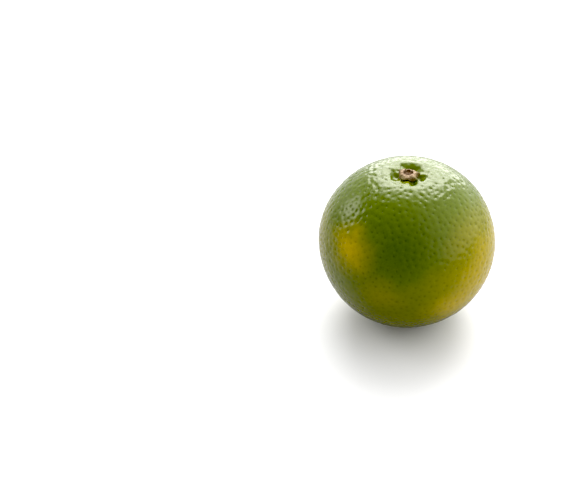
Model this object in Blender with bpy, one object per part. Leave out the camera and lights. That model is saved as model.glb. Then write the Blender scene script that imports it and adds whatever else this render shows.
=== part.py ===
"""A fresh sweet orange standing on its flat spot, with its calyx at the stem end.

Metres, +Z up. The fruit's own axis is the Z axis, with the stem end up. The
origin is the middle of the flat spot, so the whole fruit stands above Z = 0.
"""
import math

import bmesh
import bpy
from mathutils import Vector, noise

# The fruit
EQUATOR_DIAMETER = 0.0750
POLE_TO_POLE = 0.0725         # of the full round shape, before either end is flattened
REST_SPOT_DIAMETER = 0.0140
TAPER = 0.020                 # how much the upper half swells and the lower half slims
LUMP_HEIGHT = 0.0006          # slow unevenness of the sides
LUMPS_ACROSS = 1.1            # unevenness repeats about this often over one radius
STEM_HOLLOW_DEPTH = 0.0030    # the stem end sinks by this much
STEM_HOLLOW_RADIUS = 0.0085

# The pockets in the rind, where it swelled up round the calyx
POCKET_DEPTH = 0.0019
POCKET_MIDDLE_RADIUS = 0.0053
POCKET_WIDTH = 0.0020
POCKETS = (                   # direction and half angle in degrees, and share of the full depth
    (76.0, 40.0, 1.0),
    (190.0, 28.0, 1.0),
    (290.0, 13.0, 0.8),
    (343.0, 19.0, 0.9),
)

# The calyx: a ring round the stem's scar, with five sepals that lie on the rind
RING_DIAMETER = 0.0068
RING_HEIGHT = 0.0015
SCAR_DIAMETER = 0.0042
SCAR_DEPTH = 0.0010
BRIM_WIDTH = 0.0003           # how far the calyx runs past the ring between two sepals
SEPAL_THICKNESS = 0.0008
SEPAL_HALF_ANGLE = 14.0       # degrees
SEPALS = (                    # direction in degrees from +X, and length past the ring
    (10.0, 0.0019),
    (81.0, 0.0010),
    (140.0, 0.0017),
    (243.0, 0.0018),
    (314.0, 0.0027),
)
SEAT_CLEARANCE = 0.0003       # between the calyx and the rind under it

# How finely the two meshes are cut
TURN_STEPS = 72
STEM_END_STEPS = 18
SIDE_STEPS = 28

EQUATOR_RADIUS = EQUATOR_DIAMETER / 2
HALF_HEIGHT = POLE_TO_POLE / 2
REST_ANGLE = math.pi - math.asin(REST_SPOT_DIAMETER / EQUATOR_DIAMETER)
EQUATOR_Z = -HALF_HEIGHT * math.cos(REST_ANGLE)


def clear_scene():
    """Remove whatever objects are in the scene."""
    for old in list(bpy.data.objects):
        bpy.data.objects.remove(old, do_unlink=True)


def skin_material(name, colour, roughness):
    """A material for living tissue, which is never metallic."""
    made = bpy.data.materials.new(name)
    made.use_nodes = True
    shader = made.node_tree.nodes["Principled BSDF"]
    shader.inputs["Base Color"].default_value = (*colour, 1.0)
    shader.inputs["Roughness"].default_value = roughness
    shader.inputs["Metallic"].default_value = 0.0
    return made


def spun_mesh(outline):
    """Turn an outline of (radius, height) points, both ends on the axis, into a closed mesh."""
    mesh = bmesh.new()
    points = [mesh.verts.new((radius, 0.0, height)) for radius, height in outline]
    edges = [mesh.edges.new(pair) for pair in zip(points, points[1:])]
    mesh_axis = {"cent": Vector(), "axis": Vector((0.0, 0.0, 1.0)), "angle": math.tau}
    bmesh.ops.spin(mesh, geom=points + edges, steps=TURN_STEPS, **mesh_axis)
    bmesh.ops.remove_doubles(mesh, verts=mesh.verts[:], dist=1e-6)
    bmesh.ops.recalc_face_normals(mesh, faces=mesh.faces[:])
    return mesh


def finished_object(name, mesh, material):
    """Put a mesh into the scene as a smooth object of the given name."""
    data = bpy.data.meshes.new(name)
    mesh.to_mesh(data)
    mesh.free()
    data.shade_smooth()
    data.materials.append(material)
    made = bpy.data.objects.new(name, data)
    bpy.context.scene.collection.objects.link(made)
    return made


def sepal_reach(turn):
    """How far the calyx runs past its ring in a direction."""
    reach = BRIM_WIDTH
    for direction, length in SEPALS:
        aside = math.degrees(math.remainder(turn - math.radians(direction), math.tau))
        share = math.exp(-((aside / SEPAL_HALF_ANGLE) ** 2))
        reach = max(reach, BRIM_WIDTH + (length - BRIM_WIDTH) * share)
    return reach


def hollow_depth(radius):
    """How far the stem end has sunk below the round shape, at a distance from the axis."""
    return STEM_HOLLOW_DEPTH * math.exp(-((radius / STEM_HOLLOW_RADIUS) ** 2))


def pocket_depth(radius, turn):
    """How far a pocket goes below the stem hollow, at a distance from the axis and a direction."""
    deepest = 0.0
    for direction, half_angle, depth_share in POCKETS:
        aside = math.degrees(math.remainder(turn - math.radians(direction), math.tau))
        deepest = max(deepest, depth_share * math.exp(-((aside / half_angle) ** 4)))
    across = (radius - POCKET_MIDDLE_RADIUS) / POCKET_WIDTH
    return POCKET_DEPTH * deepest * math.exp(-(across ** 2))


def seat_height(radius):
    """The height of the rind near the stem, away from the pockets."""
    round_height = HALF_HEIGHT * math.sqrt(1.0 - (radius / EQUATOR_RADIUS) ** 2)
    return EQUATOR_Z + round_height - hollow_depth(radius)


def fruit_outline():
    """The rind from the stem end down to the rest spot, close together where the calyx sits."""
    hollow_edge = math.asin(1.4 * STEM_HOLLOW_RADIUS / EQUATOR_RADIUS)
    angles = [hollow_edge * step / STEM_END_STEPS for step in range(STEM_END_STEPS)]
    side = REST_ANGLE - hollow_edge
    angles += [hollow_edge + side * step / SIDE_STEPS for step in range(SIDE_STEPS + 1)]
    outline = [
        (EQUATOR_RADIUS * math.sin(angle), EQUATOR_Z + HALF_HEIGHT * math.cos(angle))
        for angle in angles
    ]
    rest_edge = (REST_SPOT_DIAMETER / 2, 0.0)
    return outline[:-1] + [rest_edge, (0.0, 0.0)]


def make_fruit():
    """Rind and flesh as one solid, with the stem hollow, the pockets and the rest spot."""
    mesh = spun_mesh(fruit_outline())
    for vert in mesh.verts:
        radius = math.hypot(vert.co.x, vert.co.y)
        turn = math.atan2(vert.co.y, vert.co.x)
        up = (vert.co.z - EQUATOR_Z) / HALF_HEIGHT
        outwards = (radius / EQUATOR_RADIUS) ** 2
        if up > 0.0:
            vert.co.z -= hollow_depth(radius) + pocket_depth(radius, turn)
        place = Vector((vert.co.x, vert.co.y, up * EQUATOR_RADIUS)) / EQUATOR_RADIUS
        lump = LUMP_HEIGHT * noise.noise(place * LUMPS_ACROSS) / EQUATOR_RADIUS
        swell = 1.0 + outwards * (TAPER * up + lump)
        vert.co.x *= swell
        vert.co.y *= swell
    rind = skin_material("rind", (0.19, 0.24, 0.01), 0.35)
    return finished_object("fruit", mesh, rind)


def calyx_outline():
    """The calyx cut through one side, drawn as if the rind were flat and each sepal BRIM_WIDTH long."""
    scar = SCAR_DIAMETER / 2
    ring = RING_DIAMETER / 2
    wall = ring - scar
    tip = ring + BRIM_WIDTH
    scar_floor = RING_HEIGHT - SCAR_DEPTH
    top = [
        (0.0, scar_floor),
        (0.55 * scar, scar_floor),
        (0.90 * scar, scar_floor + 0.25 * SCAR_DEPTH),
        (scar, scar_floor + 0.80 * SCAR_DEPTH),
        (scar + 0.30 * wall, RING_HEIGHT),
        (scar + 0.60 * wall, RING_HEIGHT),
        (ring - 0.05 * wall, RING_HEIGHT - 0.25 * (RING_HEIGHT - SEPAL_THICKNESS)),
    ]
    sepal = [
        (ring, SEPAL_THICKNESS),
        (ring + 0.35 * BRIM_WIDTH, 0.90 * SEPAL_THICKNESS),
        (ring + 0.70 * BRIM_WIDTH, 0.75 * SEPAL_THICKNESS),
        (ring + 0.95 * BRIM_WIDTH, 0.45 * SEPAL_THICKNESS),
        (tip, 0.15 * SEPAL_THICKNESS),
        (ring + 0.90 * BRIM_WIDTH, 0.0),
    ]
    underside = [(ring + 0.45 * BRIM_WIDTH, 0.0)]
    underside += [(ring * step / 4, 0.0) for step in range(4, -1, -1)]
    return top + sepal + underside


def make_calyx():
    """The ring and its sepals, laid over the stem hollow with a clearance under them."""
    mesh = spun_mesh(calyx_outline())
    ring = RING_DIAMETER / 2
    for vert in mesh.verts:
        radius = math.hypot(vert.co.x, vert.co.y)
        turn = math.atan2(vert.co.y, vert.co.x)
        laid = radius
        if radius > ring:
            laid = ring + (radius - ring) * sepal_reach(turn) / BRIM_WIDTH
            vert.co.x *= laid / radius
            vert.co.y *= laid / radius
        vert.co.z += seat_height(laid) + SEAT_CLEARANCE
    dry_green = skin_material("calyx", (0.36, 0.27, 0.13), 0.75)
    return finished_object("calyx", mesh, dry_green)


def stand_over_origin(fruit, calyx):
    """Move both pieces alike, so that the fruit's sides lie evenly about the Z axis."""
    across = [vert.co.x for vert in fruit.data.vertices]
    along = [vert.co.y for vert in fruit.data.vertices]
    shift = Vector((max(across) + min(across), max(along) + min(along), 0.0)) / -2
    fruit.location = shift
    calyx.location = shift


clear_scene()
stand_over_origin(make_fruit(), make_calyx())
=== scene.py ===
import math
import random

import bpy
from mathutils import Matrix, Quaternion, Vector, noise
from mathutils.kdtree import KDTree


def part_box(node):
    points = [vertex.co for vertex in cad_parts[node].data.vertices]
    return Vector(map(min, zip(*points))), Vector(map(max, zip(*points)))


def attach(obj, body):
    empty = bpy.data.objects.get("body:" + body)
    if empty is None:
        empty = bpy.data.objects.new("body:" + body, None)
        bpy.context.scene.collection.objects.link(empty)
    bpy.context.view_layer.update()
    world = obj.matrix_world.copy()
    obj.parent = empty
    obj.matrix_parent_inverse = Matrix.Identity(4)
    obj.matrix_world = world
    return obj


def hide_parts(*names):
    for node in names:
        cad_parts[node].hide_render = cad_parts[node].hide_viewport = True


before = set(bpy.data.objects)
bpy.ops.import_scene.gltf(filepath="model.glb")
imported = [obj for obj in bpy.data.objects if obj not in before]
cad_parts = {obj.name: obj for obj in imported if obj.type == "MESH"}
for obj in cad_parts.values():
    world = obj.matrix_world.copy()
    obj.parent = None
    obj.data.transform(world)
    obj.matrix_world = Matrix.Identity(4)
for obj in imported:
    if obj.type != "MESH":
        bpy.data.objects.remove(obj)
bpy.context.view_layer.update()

# A fresh sweet orange that has begun to turn from green to yellow, standing on a white table.
bpy.ops.object.select_all(action="DESELECT")

fruit_low, fruit_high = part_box("fruit")
fruit_middle = (fruit_low + fruit_high) / 2
fruit_width = fruit_high.x - fruit_low.x


# ---- Table
# A wide matt white board lying flat, which takes the fruit's soft shadow. It isn't part of the
# orange, and it throws less light back at it than it shows to the eye.
table_size = 6.0
bpy.ops.mesh.primitive_plane_add(size=table_size, location=(0.0, 0.0, 0.0))
table = bpy.context.object
table.name = "table"

table_paint = bpy.data.materials.new("white_table_paint")
table_paint.use_nodes = True
nodes, links = table_paint.node_tree.nodes, table_paint.node_tree.links
paint = nodes["Principled BSDF"]
ray = nodes.new("ShaderNodeLightPath")
as_seen = nodes.new("ShaderNodeMix")
as_seen.data_type = "RGBA"
as_seen.inputs["A"].default_value = (0.42, 0.42, 0.42, 1.0)
as_seen.inputs["B"].default_value = (0.80, 0.80, 0.80, 1.0)
links.new(ray.outputs["Is Camera Ray"], as_seen.inputs["Factor"])
links.new(as_seen.outputs["Result"], paint.inputs["Base Color"])
paint.inputs["Roughness"].default_value = 0.9
paint.inputs["Specular IOR Level"].default_value = 0.1
table.data.materials.append(table_paint)


# ---- Light
# Soft boxes hang behind and above the fruit, and pale boards stand far behind and at the left. The
# smaller ones within them soften their edges. The room is white, with more light at the right.
def soft_box(name, place, size, power):
    """An even square light of the given size that faces the fruit."""
    bpy.ops.object.light_add(type="AREA", location=place)
    lamp = bpy.context.object
    lamp.name = name
    lamp.data.shape = "RECTANGLE"
    lamp.data.size, lamp.data.size_y = size
    lamp.data.energy = power
    facing = fruit_middle - Vector(place)
    lamp.rotation_euler = facing.to_track_quat("-Z", "Y").to_euler()


soft_box("back_soft_box", (0.04, 0.56, 0.56), (0.78, 0.43), 4.7)
soft_box("back_soft_box_middle", (0.07, 0.57, 0.57), (0.60, 0.34), 1.1)
soft_box("top_soft_box", (0.02, 0.46, 1.00), (1.2, 0.34), 2.8)
soft_box("back_board", (0.15, 1.60, 0.35), (1.4, 0.7), 9.0)
soft_box("left_board", (-0.80, 0.28, 0.45), (0.62, 0.56), 0.7)
soft_box("left_board_inner", (-0.80, 0.28, 0.47), (0.46, 0.42), 0.6)
soft_box("left_board_middle", (-0.80, 0.28, 0.49), (0.30, 0.28), 0.5)

room = bpy.data.worlds.new("room")
bpy.context.scene.world = room
room.use_nodes = True
nodes, links = room.node_tree.nodes, room.node_tree.links
room_light = nodes["Background"]
around = nodes.new("ShaderNodeTexCoord")
to_the_right = nodes.new("ShaderNodeVectorMath")
to_the_right.operation = "DOT_PRODUCT"
to_the_right.inputs[1].default_value = (0.60, 0.45, 0.0)
light_there = nodes.new("ShaderNodeMapRange")
light_there.inputs["From Min"].default_value = -0.5
light_there.inputs["From Max"].default_value = 0.5
light_there.inputs["To Min"].default_value = 0.44
light_there.inputs["To Max"].default_value = 1.75
links.new(around.outputs["Generated"], to_the_right.inputs[0])
links.new(to_the_right.outputs["Value"], light_there.inputs["Value"])
ray = nodes.new("ShaderNodeLightPath")
white_wall = nodes.new("ShaderNodeMix")
white_wall.data_type = "FLOAT"
white_wall.inputs["B"].default_value = 1.0
links.new(ray.outputs["Is Camera Ray"], white_wall.inputs["Factor"])
links.new(light_there.outputs["Result"], white_wall.inputs["A"])
links.new(white_wall.outputs["Result"], room_light.inputs["Strength"])
room_light.inputs["Color"].default_value = (1.0, 1.0, 1.0, 1.0)

# the picture's darkest and lightest tones
picture = bpy.context.scene.view_settings
picture.view_transform = "Standard"
picture.use_curve_mapping = True
picture.curve_mapping.black_level = (0.03, 0.03, 0.03)
picture.curve_mapping.white_level = (0.86, 0.86, 0.86)
picture.curve_mapping.update()


# ---- Camera
# A portrait lens that looks down on the stem end, and keeps the orange to the right of the picture.
frame_width = 565.0
orange_width = 176.0
aside = 123.5
above = 11.6
lens = 85.0
elevation = math.radians(36.0)
roll = math.radians(2.4)
sight = Vector((0.0, 0.0, 0.0355))

bpy.ops.object.camera_add()
camera = bpy.context.object
camera.data.lens = lens
metres_a_dot = fruit_width / orange_width
reach = lens / camera.data.sensor_width * frame_width * metres_a_dot
towards = Vector((0.0, -math.cos(elevation), math.sin(elevation)))
camera.location = sight + towards * reach
upwards = Vector((0.0, math.sin(elevation), math.cos(elevation)))
aim = sight - Vector((1.0, 0.0, 0.0)) * aside * metres_a_dot - upwards * above * metres_a_dot
straight = (aim - camera.location).to_track_quat("-Z", "Y")
camera.rotation_euler = (straight @ Quaternion((0.0, 0.0, 1.0), -roll)).to_euler()
camera.data.clip_start = 0.05
camera.data.clip_end = 20.0
bpy.context.scene.camera = camera


# ---- Rind
# The skin and the flesh under it, which grew as one piece. The skin is waxy and closely pitted,
# because an oil gland lies under each pit, and it sinks in round the calyx.
def only(thing):
    """Make one object the only one selected, and the active one."""
    bpy.ops.object.select_all(action="DESELECT")
    thing.select_set(True)
    bpy.context.view_layer.objects.active = thing


def apply_all(thing):
    """Apply every modifier of an object, in order."""
    only(thing)
    for modifier in list(thing.modifiers):
        bpy.ops.object.modifier_apply(modifier=modifier.name)


def rounded_form(node):
    """A merged and rounded copy of a CAD node, for new surfaces to be laid on."""
    form = node.copy()
    form.data = node.data.copy()
    form.name = "form"
    bpy.context.scene.collection.objects.link(form)
    only(form)
    bpy.ops.object.mode_set(mode="EDIT")
    bpy.ops.mesh.select_all(action="SELECT")
    bpy.ops.mesh.remove_doubles(threshold=1e-6)
    bpy.ops.mesh.tris_convert_to_quads()
    bpy.ops.object.mode_set(mode="OBJECT")
    rounding = form.modifiers.new("rounding", "SUBSURF")
    rounding.levels = rounding.render_levels = 2
    apply_all(form)
    return form


def tree_of(points):
    """A search tree over a list of points."""
    tree = KDTree(len(points))
    for index, point in enumerate(points):
        tree.insert(point, index)
    tree.balance()
    return tree


form = rounded_form(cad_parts["fruit"])

# a ball of nearly even triangles, stirred a little so that no rows show
stir = 0.00022
bpy.ops.mesh.primitive_ico_sphere_add(
    subdivisions=7, radius=fruit_width / 2, location=fruit_middle
)
rind = bpy.context.object
rind.name = "rind"
bpy.ops.object.mode_set(mode="EDIT")
bpy.ops.mesh.select_all(action="SELECT")
bpy.ops.transform.vertex_random(offset=stir, uniform=1.0, normal=0.0, seed=11)
bpy.ops.mesh.vertices_smooth(factor=0.5, repeat=1)
bpy.ops.object.mode_set(mode="OBJECT")
rounding = rind.modifiers.new("rounding", "CAST")
rounding.factor = 1.0
apply_all(rind)
bpy.ops.object.transform_apply(location=True, rotation=False, scale=False)

# the glands: points of the ball taken in a random order, none too near to one already taken
gland_spacing = 0.0021
random.seed(3)
ball = [vert.co.copy() for vert in rind.data.vertices]
ball_tree = tree_of(ball)
order = list(range(len(ball)))
random.shuffle(order)
crowded = set()
glands = []
for index in order:
    if index not in crowded:
        glands.append(index)
        crowded.update(near[1] for near in ball_tree.find_range(ball[index], gland_spacing))

# a round mouth is cut at each gland, and its middle is raised to a point for the pit's floor
gland_mouth = 0.00034
bpy.ops.object.mode_set(mode="EDIT")
bpy.ops.mesh.select_mode(type="VERT")
bpy.ops.mesh.select_all(action="DESELECT")
bpy.ops.object.mode_set(mode="OBJECT")
for index in glands:
    rind.data.vertices[index].select = True
bpy.ops.object.mode_set(mode="EDIT")
bpy.ops.mesh.bevel(affect="VERTICES", offset_type="OFFSET", offset=gland_mouth)
bpy.ops.mesh.select_mode(type="FACE")
bpy.ops.mesh.poke()
bpy.ops.object.mode_set(mode="OBJECT")

# the stem end is cut finer, because the pockets between the sepals have steep sides
fine_radius = 0.0105
for face in rind.data.polygons:
    from_axis = math.hypot(face.center.x, face.center.y)
    face.select = from_axis < fine_radius and face.center.z > fruit_middle.z
bpy.ops.object.mode_set(mode="EDIT")
bpy.ops.mesh.quads_convert_to_tris()
bpy.ops.mesh.subdivide(number_cuts=1)
bpy.ops.object.mode_set(mode="OBJECT")

laid_on = rind.modifiers.new("laid_on", "SHRINKWRAP")
laid_on.target = form
laid_on.wrap_method = "PROJECT"
laid_on.use_negative_direction = True
laid_on.use_positive_direction = True
apply_all(rind)


def laid(point):
    """The place on the fruit straight below or above a point of the ball."""
    return form.ray_cast(fruit_middle, point - fruit_middle)[1]


# every pit is a small bowl in a wider dimple, and the skin between them is softly pebbled
pit_depth = 0.00006
pit_radius = 0.00046
dimple_depth = 0.00019
dimple_radius = 0.00092
pebble_height = 0.00014
pebble_size = 0.0030
grain_height = 0.00004
grain_size = 0.0012
pucker_height = 0.00050
pucker_size = 0.0019
pucker_radius = 0.0210
style_scar_depth = 0.00030
style_scar_radius = 0.0014
gland_places = [laid(ball[index]) for index in glands]
gland_tree = tree_of(gland_places)
gland_depth = [random.uniform(0.45, 1.25) for _ in gland_places]
# how deep in a pit each point lies, used to paint shade in the pits
pit_shade_marks = rind.data.attributes.new("pit", "FLOAT", "POINT")
for vert in rind.data.vertices:
    place = vert.co.copy()
    outward = (place - fruit_middle).normalized()
    dimple = 0.0
    pit = 0.0
    for _, which, away in gland_tree.find_range(place, 2.5 * dimple_radius):
        dimple += gland_depth[which] * math.exp(-((away / dimple_radius) ** 2))
        pit += gland_depth[which] * math.exp(-((away / pit_radius) ** 2))
    pebble = 0.4 + 0.5 * noise.noise(place / pebble_size)
    grain = 0.4 + 0.5 * noise.noise(place / grain_size)
    depth = pit_depth * pit + dimple_depth * dimple + pebble_height * pebble + grain_height * grain
    from_axis = math.hypot(place.x, place.y)
    if place.z > fruit_middle.z:
        puckered = math.exp(-((from_axis / pucker_radius) ** 4))
        depth += pucker_height * puckered * (0.4 + 0.5 * noise.noise(place / pucker_size))
    else:
        depth += style_scar_depth * math.exp(-((from_axis / style_scar_radius) ** 4))
    vert.co = place - outward * depth
    pit_shade_marks.data[vert.index].value = pit
rind.data.shade_smooth()

rind_skin = bpy.data.materials.new("waxy_rind")
rind_skin.use_nodes = True
nodes, links = rind_skin.node_tree.nodes, rind_skin.node_tree.links
skin = nodes["Principled BSDF"]
skin.inputs["Specular Tint"].default_value = (1.0, 0.95, 0.80, 1.0)
skin.inputs["Specular IOR Level"].default_value = 0.30
skin.inputs["Coat Weight"].default_value = 0.22
skin.inputs["Coat Roughness"].default_value = 0.08
place_on = nodes.new("ShaderNodeTexCoord")


def patch(centre, radius, blur, amount, before):
    """Add a soft round patch to the ripeness value that sets the skin's colour: some patches are
    real ripening, some are painted light or shade.
    """
    reach_node = nodes.new("ShaderNodeVectorMath")
    reach_node.operation = "DISTANCE"
    reach_node.inputs[1].default_value = centre
    links.new(wandered_place.outputs["Vector"], reach_node.inputs[0])
    fade = nodes.new("ShaderNodeMapRange")
    fade.interpolation_type = "SMOOTHSTEP"
    fade.inputs["From Min"].default_value = radius + blur
    fade.inputs["From Max"].default_value = max(radius - blur, 0.0)
    fade.inputs["To Min"].default_value = 0.0
    fade.inputs["To Max"].default_value = amount
    links.new(reach_node.outputs["Value"], fade.inputs["Value"])
    total = nodes.new("ShaderNodeMath")
    total.operation = "ADD"
    links.new(before, total.inputs[0])
    links.new(fade.outputs["Result"], total.inputs[1])
    return total.outputs["Value"]


# places on the skin are given as if the fruit were a ball of radius 1 round its middle
to_ball = nodes.new("ShaderNodeMapping")
to_ball.vector_type = "TEXTURE"
to_ball.inputs["Location"].default_value = fruit_middle
to_ball.inputs["Scale"].default_value = (fruit_high - fruit_low) / 2
links.new(place_on.outputs["Object"], to_ball.inputs["Vector"])

wander = nodes.new("ShaderNodeTexNoise")
wander.inputs["Scale"].default_value = 3.2
wander.inputs["Detail"].default_value = 4.0
links.new(to_ball.outputs["Vector"], wander.inputs["Vector"])
shift = nodes.new("ShaderNodeVectorMath")
shift.operation = "MULTIPLY_ADD"
shift.inputs[1].default_value = (0.30, 0.30, 0.30)
links.new(wander.outputs["Color"], shift.inputs[0])
links.new(to_ball.outputs["Vector"], shift.inputs[2])
wandered_place = nodes.new("ShaderNodeVectorMath")
wandered_place.operation = "SUBTRACT"
wandered_place.inputs[1].default_value = (0.15, 0.15, 0.15)
links.new(shift.outputs["Vector"], wandered_place.inputs[0])

upright = nodes.new("ShaderNodeSeparateXYZ")
links.new(wandered_place.outputs["Vector"], upright.inputs["Vector"])
by_height = nodes.new("ShaderNodeMapRange")
by_height.inputs["From Min"].default_value = 1.0
by_height.inputs["From Max"].default_value = -1.0
by_height.inputs["To Min"].default_value = 0.12
by_height.inputs["To Max"].default_value = 0.46
links.new(upright.outputs["Z"], by_height.inputs["Value"])
ripeness_and_light = by_height.outputs["Result"]
# partly real ripening and partly painted light: the right side is made yellower and lighter, as if
# lit by the bright right of the room
ripeness_and_light = patch((1.00, -0.42, 0.05), 0.70, 0.46, 0.38, ripeness_and_light)
ripeness_and_light = patch((-0.58, -0.68, 0.43), 0.12, 0.35, 0.46, ripeness_and_light)
# partly real ripening and partly painted light: the skin round the stem and on the pockets' walls
# is made yellower and lighter
ripeness_and_light = patch((0.00, 0.00, 0.95), 0.16, 0.10, 0.22, ripeness_and_light)
ripeness_and_light = patch((0.05, -0.98, 0.10), 0.34, 0.32, 0.05, ripeness_and_light)
ripeness_and_light = patch((-0.26, -0.96, 0.00), 0.12, 0.24, 0.13, ripeness_and_light)
ripeness_and_light = patch((0.45, -0.84, -0.32), 0.16, 0.30, 0.17, ripeness_and_light)
# painted shade: the skin that faces the dim front of the room is made greener and darker
ripeness_and_light = patch((0.00, -0.85, 0.52), 0.30, 0.30, -0.15, ripeness_and_light)
ripeness_and_light = patch((-0.40, 0.85, -0.30), 0.60, 0.40, 0.25, ripeness_and_light)
# partly real ripening and partly painted light: the left side is made yellower and lighter
ripeness_and_light = patch((-0.97, -0.10, 0.20), 0.40, 0.30, 0.20, ripeness_and_light)

# the ripeness value, with its painted light and shade, picks the skin's colour from green to orange
ripeness_and_light_colours = nodes.new("ShaderNodeValToRGB")
steps = ripeness_and_light_colours.color_ramp.elements
steps[0].position, steps[0].color = 0.0, (0.055, 0.092, 0.001, 1.0)
steps[1].position, steps[1].color = 1.0, (0.60, 0.27, 0.004, 1.0)
for position, colour in (
    (0.25, (0.095, 0.130, 0.001, 1.0)),
    (0.50, (0.220, 0.204, 0.001, 1.0)),
    (0.75, (0.480, 0.340, 0.002, 1.0)),
):
    step = steps.new(position)
    step.color = colour
links.new(ripeness_and_light, ripeness_and_light_colours.inputs["Fac"])

# the skin is darker in each pit: partly the gland's own tone, partly painted shade in the hollow
pit_shade_mask = nodes.new("ShaderNodeAttribute")
pit_shade_mask.attribute_name = "pit"
pit_shade = nodes.new("ShaderNodeMix")
pit_shade.data_type = "RGBA"
pit_shade.blend_type = "MULTIPLY"
pit_shade.inputs["B"].default_value = (0.74, 0.78, 0.6, 1.0)
links.new(pit_shade_mask.outputs["Fac"], pit_shade.inputs["Factor"])
links.new(ripeness_and_light_colours.outputs["Color"], pit_shade.inputs["A"])

# a few small brown rubs, and the brown dot under the fruit where the flower's style fell away
rubs = nodes.new("ShaderNodeTexVoronoi")
rubs.inputs["Scale"].default_value = 62.0
links.new(place_on.outputs["Object"], rubs.inputs["Vector"])
rubbed = nodes.new("ShaderNodeMapRange")
rubbed.inputs["From Min"].default_value = 0.036
rubbed.inputs["From Max"].default_value = 0.018
rubbed.inputs["To Max"].default_value = 0.65
links.new(rubs.outputs["Distance"], rubbed.inputs["Value"])
from_dot = nodes.new("ShaderNodeVectorMath")
from_dot.operation = "LENGTH"
links.new(place_on.outputs["Object"], from_dot.inputs[0])
dot = nodes.new("ShaderNodeMapRange")
dot.inputs["From Min"].default_value = 1.25 * style_scar_radius
dot.inputs["From Max"].default_value = 0.75 * style_scar_radius
links.new(from_dot.outputs["Value"], dot.inputs["Value"])
brown = nodes.new("ShaderNodeMath")
brown.operation = "MAXIMUM"
links.new(rubbed.outputs["Result"], brown.inputs[0])
links.new(dot.outputs["Result"], brown.inputs[1])
marked = nodes.new("ShaderNodeMix")
marked.data_type = "RGBA"
marked.inputs["B"].default_value = (0.055, 0.030, 0.008, 1.0)
links.new(brown.outputs["Value"], marked.inputs["Factor"])
links.new(pit_shade.outputs["Result"], marked.inputs["A"])
links.new(marked.outputs["Result"], skin.inputs["Base Color"])

# the bloom of wax is uneven, so the shine is too
bloom = nodes.new("ShaderNodeTexNoise")
bloom.inputs["Scale"].default_value = 160.0
bloom.inputs["Detail"].default_value = 3.0
links.new(place_on.outputs["Object"], bloom.inputs["Vector"])
shine = nodes.new("ShaderNodeMapRange")
shine.inputs["To Min"].default_value = 0.12
shine.inputs["To Max"].default_value = 0.24
links.new(bloom.outputs["Fac"], shine.inputs["Value"])
links.new(shine.outputs["Result"], skin.inputs["Roughness"])

fine = nodes.new("ShaderNodeTexNoise")
fine.inputs["Scale"].default_value = 1100.0
fine.inputs["Detail"].default_value = 3.0
links.new(place_on.outputs["Object"], fine.inputs["Vector"])
grain_bump = nodes.new("ShaderNodeBump")
grain_bump.inputs["Strength"].default_value = 0.5
grain_bump.inputs["Distance"].default_value = 0.00007
links.new(fine.outputs["Fac"], grain_bump.inputs["Height"])
links.new(grain_bump.outputs["Normal"], skin.inputs["Normal"])

rind.data.materials.append(rind_skin)
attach(rind, "root")
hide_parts("fruit")


# ---- Calyx
# The button that held the fruit to its stem: a woody ring round the hollow scar where the stem
# came away, and five short sepals that grew flat on the rind. It dries to tan as the fruit ripens.
calyx_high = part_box("calyx")[1]
ring_radius = 0.0034
brim = 0.0003
sepal_half_angle = 14.0
sepals = ((10.0, 0.0019), (81.0, 0.0010), (140.0, 0.0017), (243.0, 0.0018), (314.0, 0.0027))
start_radius, start_height = 0.0006, 0.00082
underside_height = 0.0002        # lower points of the outline lie on the rind, and stay smooth
skirt_radius, skirt_width = 0.0028, 0.0008
rim_inside, rim_outside = 0.0019, 0.0030
even_radius = 0.0020             # nearer the middle, the lumps fade out
lumps_aside, lumps_upward = 0.09, 0.14
sepal_rise = 0.00016
fibre_height, fibres_a_metre = 0.00012, 1500.0
rim_ragged = 0.00020
outline = (                      # radius, and height over the rind
    (0.0012, 0.00076),
    (0.0016, 0.00084),
    (0.0019, 0.00112),
    (0.0020, 0.00136),
    (0.00215, 0.00155),
    (0.0023, 0.00162),
    (0.0025, 0.00160),
    (0.0027, 0.00153),
    (0.0029, 0.00144),
    (0.0031, 0.00130),
    (0.00328, 0.00112),
    (0.00340, 0.00100),
    (0.00345, 0.00090),
    (0.00350, 0.00078),
    (0.00356, 0.00066),
    (0.00362, 0.00052),
    (0.00368, 0.00032),
    (0.00370, 0.00014),
    (0.00366, 0.00006),
    (0.00350, 0.00008),
    (0.00320, 0.00010),
    (0.00220, 0.00010),
    (0.00100, 0.00010),
)

bpy.ops.object.select_all(action="DESELECT")
bpy.ops.mesh.primitive_circle_add(
    vertices=90, radius=start_radius, fill_type="TRIFAN", location=(0.0, 0.0, start_height)
)
calyx = bpy.context.object
calyx.name = "calyx_button"
bpy.ops.object.transform_apply(location=True, rotation=False, scale=False)
bpy.ops.object.mode_set(mode="EDIT")
bpy.ops.mesh.select_mode(type="EDGE")
bpy.ops.mesh.select_all(action="SELECT")
bpy.ops.mesh.region_to_loop()
edge_radius, edge_height = start_radius, start_height
for radius, height in outline:
    bpy.ops.mesh.extrude_region_move(
        TRANSFORM_OT_translate={"value": (0.0, 0.0, height - edge_height)}
    )
    swell = radius / edge_radius
    bpy.ops.transform.resize(value=(swell, swell, 1.0), center_override=(0.0, 0.0, 0.0))
    edge_radius, edge_height = radius, height
bpy.ops.mesh.edge_face_add()
bpy.ops.mesh.poke()
bpy.ops.mesh.select_all(action="SELECT")
bpy.ops.mesh.normals_make_consistent(inside=False)
bpy.ops.object.mode_set(mode="OBJECT")


def rind_height(radius, turn):
    """The height of the rind at a distance from the axis and a direction."""
    start = Vector((radius * math.cos(turn), radius * math.sin(turn), calyx_high.z + 0.01))
    return form.ray_cast(start, Vector((0.0, 0.0, -1.0)))[1].z


def nearest_sepal(turn):
    """The direction and length of the sepal nearest to a direction, and how far aside it is."""
    best = None
    for direction, length in sepals:
        aside_of = math.degrees(math.remainder(turn - math.radians(direction), math.tau))
        if best is None or abs(aside_of) < abs(best[2]):
            best = (math.radians(direction), length, aside_of)
    return best


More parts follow.
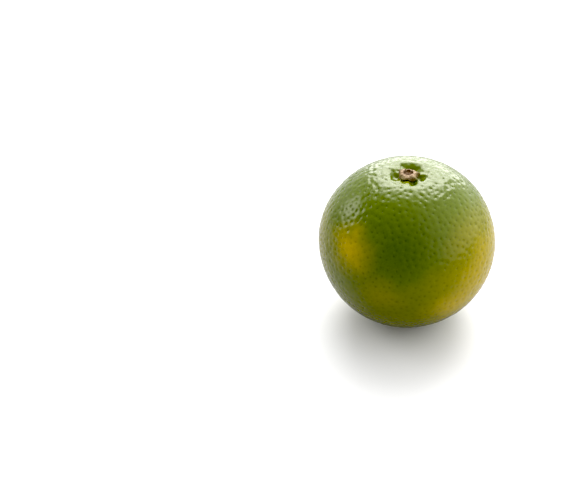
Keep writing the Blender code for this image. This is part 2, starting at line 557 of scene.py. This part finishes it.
for vert in calyx.data.vertices:
    radius = math.hypot(vert.co.x, vert.co.y)
    height = vert.co.z
    turn = math.atan2(vert.co.y, vert.co.x)
    direction, length, aside_of = nearest_sepal(turn)
    lumpy = noise.noise(Vector((math.cos(turn), math.sin(turn), 0.3)) * 1.7)
    fibrous = noise.noise(Vector((vert.co.x, vert.co.y, 0.25 * height)) * fibres_a_metre)
    lumpy_here = lumpy * min(1.0, radius / even_radius)
    share = math.exp(-((aside_of / (sepal_half_angle * (1.0 + 0.3 * lumpy))) ** 2))
    out = max(0.0, (radius - ring_radius) / brim)
    if out > 0.0:
        laid_radius = ring_radius + out * (brim + (length - brim) * share)
    else:
        laid_radius = radius * (1.0 + lumps_aside * lumpy_here)
    sunk = min(1.0, max(0.0, (radius - skirt_radius) / skirt_width))
    floor = rind_height(laid_radius, direction)
    floor += sunk * (rind_height(laid_radius, turn) - floor)
    if height > underside_height:
        height *= 1.0 + lumps_upward * lumpy_here
        height += sepal_rise * share * (out > 0.0) * (1.0 - min(out, 1.0))
        height += fibre_height * fibrous
        if rim_inside < radius < rim_outside:
            height += rim_ragged * noise.noise(Vector((math.cos(turn), math.sin(turn), 2.0)) * 4.5)
    vert.co = (laid_radius * math.cos(turn), laid_radius * math.sin(turn), floor + height)

rounding = calyx.modifiers.new("rounding", "SUBSURF")
rounding.levels = rounding.render_levels = 2
apply_all(calyx)
calyx.data.shade_smooth()

dry_wood = bpy.data.materials.new("dry_calyx")
dry_wood.use_nodes = True
nodes, links = dry_wood.node_tree.nodes, dry_wood.node_tree.links
bark = nodes["Principled BSDF"]
bark.inputs["Roughness"].default_value = 0.72
bark.inputs["Specular IOR Level"].default_value = 0.35
place_on = nodes.new("ShaderNodeTexCoord")
ragged = nodes.new("ShaderNodeTexNoise")
ragged.inputs["Scale"].default_value = 700.0
ragged.inputs["Detail"].default_value = 4.0
links.new(place_on.outputs["Object"], ragged.inputs["Vector"])
split = nodes.new("ShaderNodeSeparateXYZ")
links.new(place_on.outputs["Object"], split.inputs["Vector"])
flat = nodes.new("ShaderNodeCombineXYZ")
links.new(split.outputs["X"], flat.inputs["X"])
links.new(split.outputs["Y"], flat.inputs["Y"])
from_middle = nodes.new("ShaderNodeVectorMath")
from_middle.operation = "LENGTH"
links.new(flat.outputs["Vector"], from_middle.inputs[0])
strayed = nodes.new("ShaderNodeMath")
strayed.operation = "MULTIPLY_ADD"
strayed.inputs[1].default_value = 0.0020
links.new(ragged.outputs["Fac"], strayed.inputs[0])
links.new(from_middle.outputs["Value"], strayed.inputs[2])
outwards = nodes.new("ShaderNodeMapRange")
outwards.inputs["From Min"].default_value = 0.0010
outwards.inputs["From Max"].default_value = 0.0070
links.new(strayed.outputs["Value"], outwards.inputs["Value"])
# the calyx's colour by distance from its middle: a brown scar, painted darkest as shade where its
# floor meets the ring's inner wall; a tan rim; a darker olive-tan foot, partly painted shade under
# the rim; green sepal tips
tan_green_and_shade = nodes.new("ShaderNodeValToRGB")
steps = tan_green_and_shade.color_ramp.elements
steps[0].position, steps[0].color = 0.0, (0.085, 0.042, 0.010, 1.0)
steps[1].position, steps[1].color = 1.0, (0.10, 0.125, 0.012, 1.0)
for position, colour in (
    (0.22, (0.11, 0.055, 0.014, 1.0)),
    # painted shade where the scar's floor meets the ring's inner wall
    (0.30, (0.05, 0.026, 0.008, 1.0)),
    (0.38, (0.43, 0.32, 0.21, 1.0)),
    (0.48, (0.46, 0.35, 0.23, 1.0)),
    # partly the calyx's own tone, partly painted shade at the foot of the ring
    (0.60, (0.22, 0.17, 0.075, 1.0)),
    (0.72, (0.15, 0.12, 0.035, 1.0)),
    (0.88, (0.12, 0.125, 0.020, 1.0)),
):
    step = steps.new(position)
    step.color = colour
links.new(outwards.outputs["Result"], tan_green_and_shade.inputs["Fac"])
cracks = nodes.new("ShaderNodeTexNoise")
cracks.inputs["Scale"].default_value = 2400.0
cracks.inputs["Detail"].default_value = 3.0
links.new(place_on.outputs["Object"], cracks.inputs["Vector"])
in_crack = nodes.new("ShaderNodeMapRange")
in_crack.inputs["From Min"].default_value = 0.42
in_crack.inputs["From Max"].default_value = 0.62
links.new(cracks.outputs["Fac"], in_crack.inputs["Value"])
browned = nodes.new("ShaderNodeMix")
browned.data_type = "RGBA"
browned.blend_type = "MULTIPLY"
browned.inputs["B"].default_value = (0.52, 0.42, 0.32, 1.0)
links.new(in_crack.outputs["Result"], browned.inputs["Factor"])
links.new(tan_green_and_shade.outputs["Color"], browned.inputs["A"])
links.new(browned.outputs["Result"], bark.inputs["Base Color"])
fibre = nodes.new("ShaderNodeBump")
fibre.inputs["Strength"].default_value = 1.0
fibre.inputs["Distance"].default_value = 0.00030
links.new(ragged.outputs["Fac"], fibre.inputs["Height"])
links.new(fibre.outputs["Normal"], bark.inputs["Normal"])
calyx.data.materials.append(dry_wood)

bpy.data.objects.remove(form, do_unlink=True)
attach(calyx, "root")
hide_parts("calyx")
